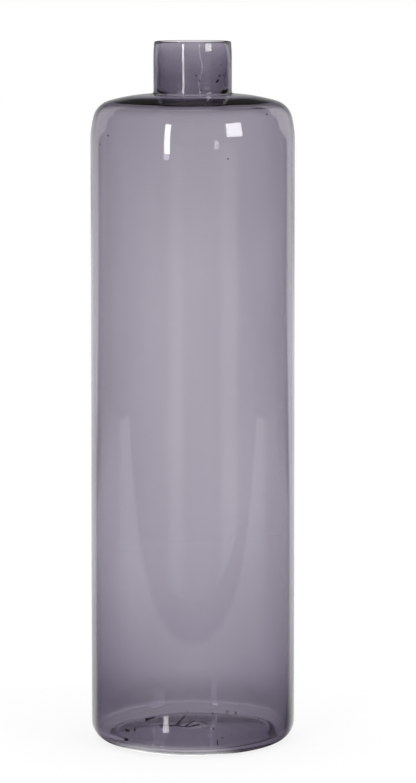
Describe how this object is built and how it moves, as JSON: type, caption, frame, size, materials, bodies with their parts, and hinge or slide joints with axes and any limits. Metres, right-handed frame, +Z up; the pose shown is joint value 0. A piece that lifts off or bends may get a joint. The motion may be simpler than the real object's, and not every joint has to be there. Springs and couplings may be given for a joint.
{
  "type": "bottle vase",
  "caption": "Tall straight bottle vase of tinted blown glass with a round shoulder, a short neck and a foot that is pushed up a little underneath.",
  "frame": {"origin": "middle of the foot, in the plane of the table", "axes": "+Z up along the axis of the vase; it is round, so X and Y are free"},
  "size_m": [0.17, 0.17, 0.582],
  "materials": {
    "tinted_glass": "clear glass tinted violet grey through its mass, with a fire-polished surface"
  },
  "bodies": {
    "root": {"foot": "tinted_glass", "body_wall": "tinted_glass", "shoulder": "tinted_glass", "neck": "tinted_glass"}
  },
  "joints": []
}
